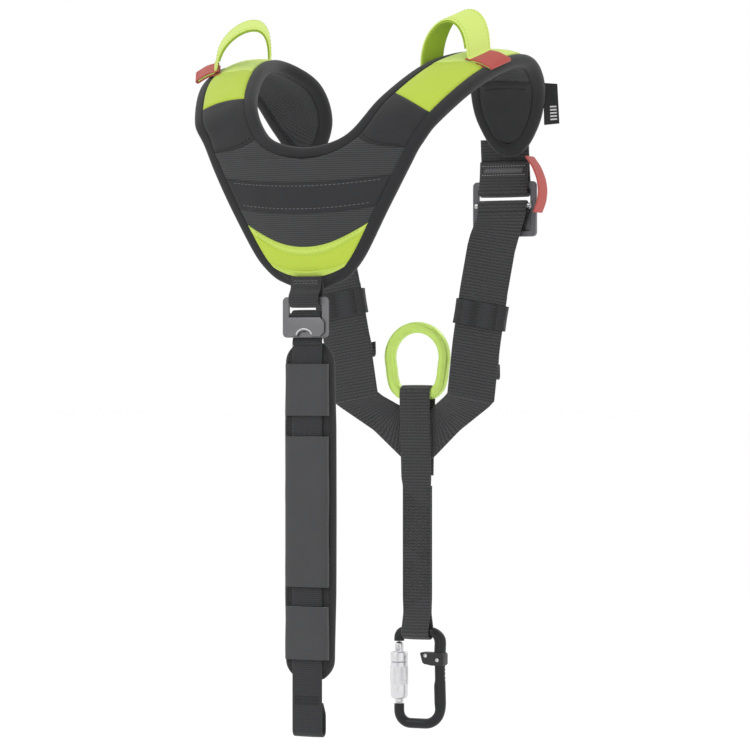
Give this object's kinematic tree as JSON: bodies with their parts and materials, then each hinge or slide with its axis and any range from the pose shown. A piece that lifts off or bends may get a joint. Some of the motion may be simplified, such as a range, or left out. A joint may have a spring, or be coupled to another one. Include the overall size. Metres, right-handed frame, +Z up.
{
  "type": "climbing saddle shoulder strap set",
  "caption": "Padded shoulder strap set of a tree climbing saddle, with gear loops, adjuster buckles, chest ring, padded back strap and a locking connector.",
  "frame": {"origin": "middle of the line over both shoulder crests, where the set hangs on the wearer", "axes": "+X the wearer's right, +Y the way the wearer faces, +Z up"},
  "size_m": [0.3285, 0.2626, 0.6846],
  "materials": {
    "pad_fabric": "matt black polyester over foam",
    "mesh_fabric": "black spacer mesh and ribbed knit",
    "webbing": "black woven polyester webbing",
    "felt": "charcoal pressed felt",
    "lime_fabric": "lime woven polyester",
    "lime_webbing": "pale lime hook-and-loop webbing",
    "red_webbing": "red woven tape",
    "binding": "black woven binding tape",
    "buckle_metal": "grey satin pressed steel",
    "ring_metal": "lime anodised",
    "connector_metal": "black anodised aluminium",
    "sleeve_metal": "silver, finely turned",
    "plastic": "black moulded plastic"
  },
  "bodies": {
    "root": {"yoke_core": "pad_fabric", "yoke_lining": "mesh_fabric", "lime_back_panel": "lime_fabric", "name_band": "pad_fabric", "ribbed_panel": "mesh_fabric", "neck_binding": "binding", "outer_binding": "binding", "side_tag": "webbing", "back_sewn_webbing": "webbing", "left_smooth_panel": "pad_fabric", "left_shoulder_patch": "lime_fabric", "left_front_cover": "mesh_fabric", "left_sewn_webbing": "webbing", "left_red_bow": "red_webbing", "right_smooth_panel": "pad_fabric", "right_shoulder_patch": "lime_fabric", "right_front_cover": "mesh_fabric", "right_sewn_webbing": "webbing", "right_red_bow": "red_webbing", "right_pocket": "pad_fabric"},
    "left_loop": {"left_gear_loop": "lime_webbing", "left_loop_tab": "red_webbing"},
    "right_loop": {"right_gear_loop": "lime_webbing", "right_loop_tab": "red_webbing"},
    "back_buckle": {"back_buckle_frame": "buckle_metal", "back_buckle_plate": "buckle_metal", "back_cross_bar": "buckle_metal", "back_webbing_turn": "webbing"},
    "back_strap": {"back_feed": "webbing", "back_strap": "webbing"},
    "back_pad": {"back_pad": "pad_fabric", "back_patch_upper": "felt", "back_patch_middle": "felt", "back_patch_lower": "felt"},
    "left_buckle": {"left_buckle_frame": "buckle_metal", "left_buckle_plate": "buckle_metal", "left_cross_bar": "buckle_metal", "left_webbing_turn": "webbing"},
    "right_buckle": {"right_buckle_frame": "buckle_metal", "right_buckle_plate": "buckle_metal", "right_cross_bar": "buckle_metal", "right_webbing_turn": "webbing"},
    "chest": {"left_feed": "webbing", "right_feed": "webbing", "left_strap": "webbing", "right_strap": "webbing", "left_tail": "webbing", "right_tail": "webbing", "chest_gusset": "webbing", "ventral_strap": "webbing"},
    "left_keeper": {"left_keeper": "webbing"},
    "right_keeper": {"right_keeper": "webbing"},
    "ring": {"ring": "ring_metal"},
    "connector": {"connector_body": "connector_metal", "connector_keeper": "plastic"},
    "gate": {"gate": "connector_metal", "gate_rivet": "sleeve_metal"},
    "collar": {"sleeve_collar": "sleeve_metal"},
    "sleeve": {"locking_sleeve": "sleeve_metal"}
  },
  "joints": [
    {"name": "left_loop_open", "type": "hinge", "parent": "root", "child": "left_loop", "pos_m": [-0.083, -0.056, 0.008], "axis": [-0.4214, 0.8228, 0.3813], "range_deg": [0, 60]},
    {"name": "right_loop_open", "type": "hinge", "parent": "root", "child": "right_loop", "pos_m": [0.083, -0.056, 0.008], "axis": [-0.4214, -0.8228, -0.3813], "range_deg": [0, 60]},
    {"name": "back_buckle_swing", "type": "hinge", "parent": "root", "child": "back_buckle", "pos_m": [0, -0.149, -0.2265], "axis": [1, 0, 0], "range_deg": [-20, 25]},
    {"name": "back_strap_adjust", "type": "slide", "parent": "back_buckle", "child": "back_strap", "axis": [0, 0, -1], "range_m": [0, 0.05], "deforming": ["back_feed"]},
    {"name": "back_pad_slide", "type": "slide", "parent": "back_strap", "child": "back_pad", "axis": [0, 0, -1], "range_m": [0, 0.016]},
    {"name": "left_buckle_swing", "type": "hinge", "parent": "root", "child": "left_buckle", "pos_m": [-0.0985, 0.084, -0.112], "axis": [1, 0, 0], "range_deg": [-15, 25]},
    {"name": "right_buckle_swing", "type": "hinge", "parent": "root", "child": "right_buckle", "pos_m": [0.0985, 0.084, -0.112], "axis": [1, 0, 0], "range_deg": [-15, 25]},
    {"name": "chest_adjust", "type": "slide", "parent": "left_buckle", "child": "chest", "axis": [0, 0, -1], "range_m": [0, 0.04], "deforming": ["left_feed", "right_feed"]},
    {"name": "left_keeper_slide", "type": "slide", "parent": "chest", "child": "left_keeper", "axis": [0.1704, 0.0435, -0.9844], "range_m": [-0.004, 0.012]},
    {"name": "right_keeper_slide", "type": "slide", "parent": "chest", "child": "right_keeper", "axis": [-0.1704, 0.0435, -0.9844], "range_m": [-0.004, 0.012]},
    {"name": "ring_swing", "type": "hinge", "parent": "chest", "child": "ring", "pos_m": [0, 0.098, -0.312], "axis": [1, 0, 0], "range_deg": [-60, 60]},
    {"name": "connector_swing", "type": "hinge", "parent": "chest", "child": "connector", "pos_m": [0, 0.098, -0.5445], "axis": [1, 0, 0], "range_deg": [-35, 35]},
    {"name": "gate_open", "type": "hinge", "parent": "connector", "child": "gate", "pos_m": [-0.0195, 0.098, -0.562], "axis": [0, -1, 0], "range_deg": [0, 25], "stiffness_Nm_per_rad": 0.25, "springref_deg": -20.05},
    {"name": "sleeve_lift", "type": "slide", "parent": "gate", "child": "collar", "axis": [0, 0, 1], "range_m": [0, 0.004], "stiffness_N_per_m": 600, "springref_m": -0.003},
    {"name": "sleeve_twist", "type": "hinge", "parent": "collar", "child": "sleeve", "pos_m": [-0.0195, 0.098, -0.59], "axis": [0, 0, 1], "range_deg": [0, 90], "stiffness_Nm_per_rad": 0.02, "springref_deg": -17.19}
  ],
  "couplings": [
    {"joint": "right_buckle_swing", "follows": "left_buckle_swing", "ratio": 1}
  ]
}
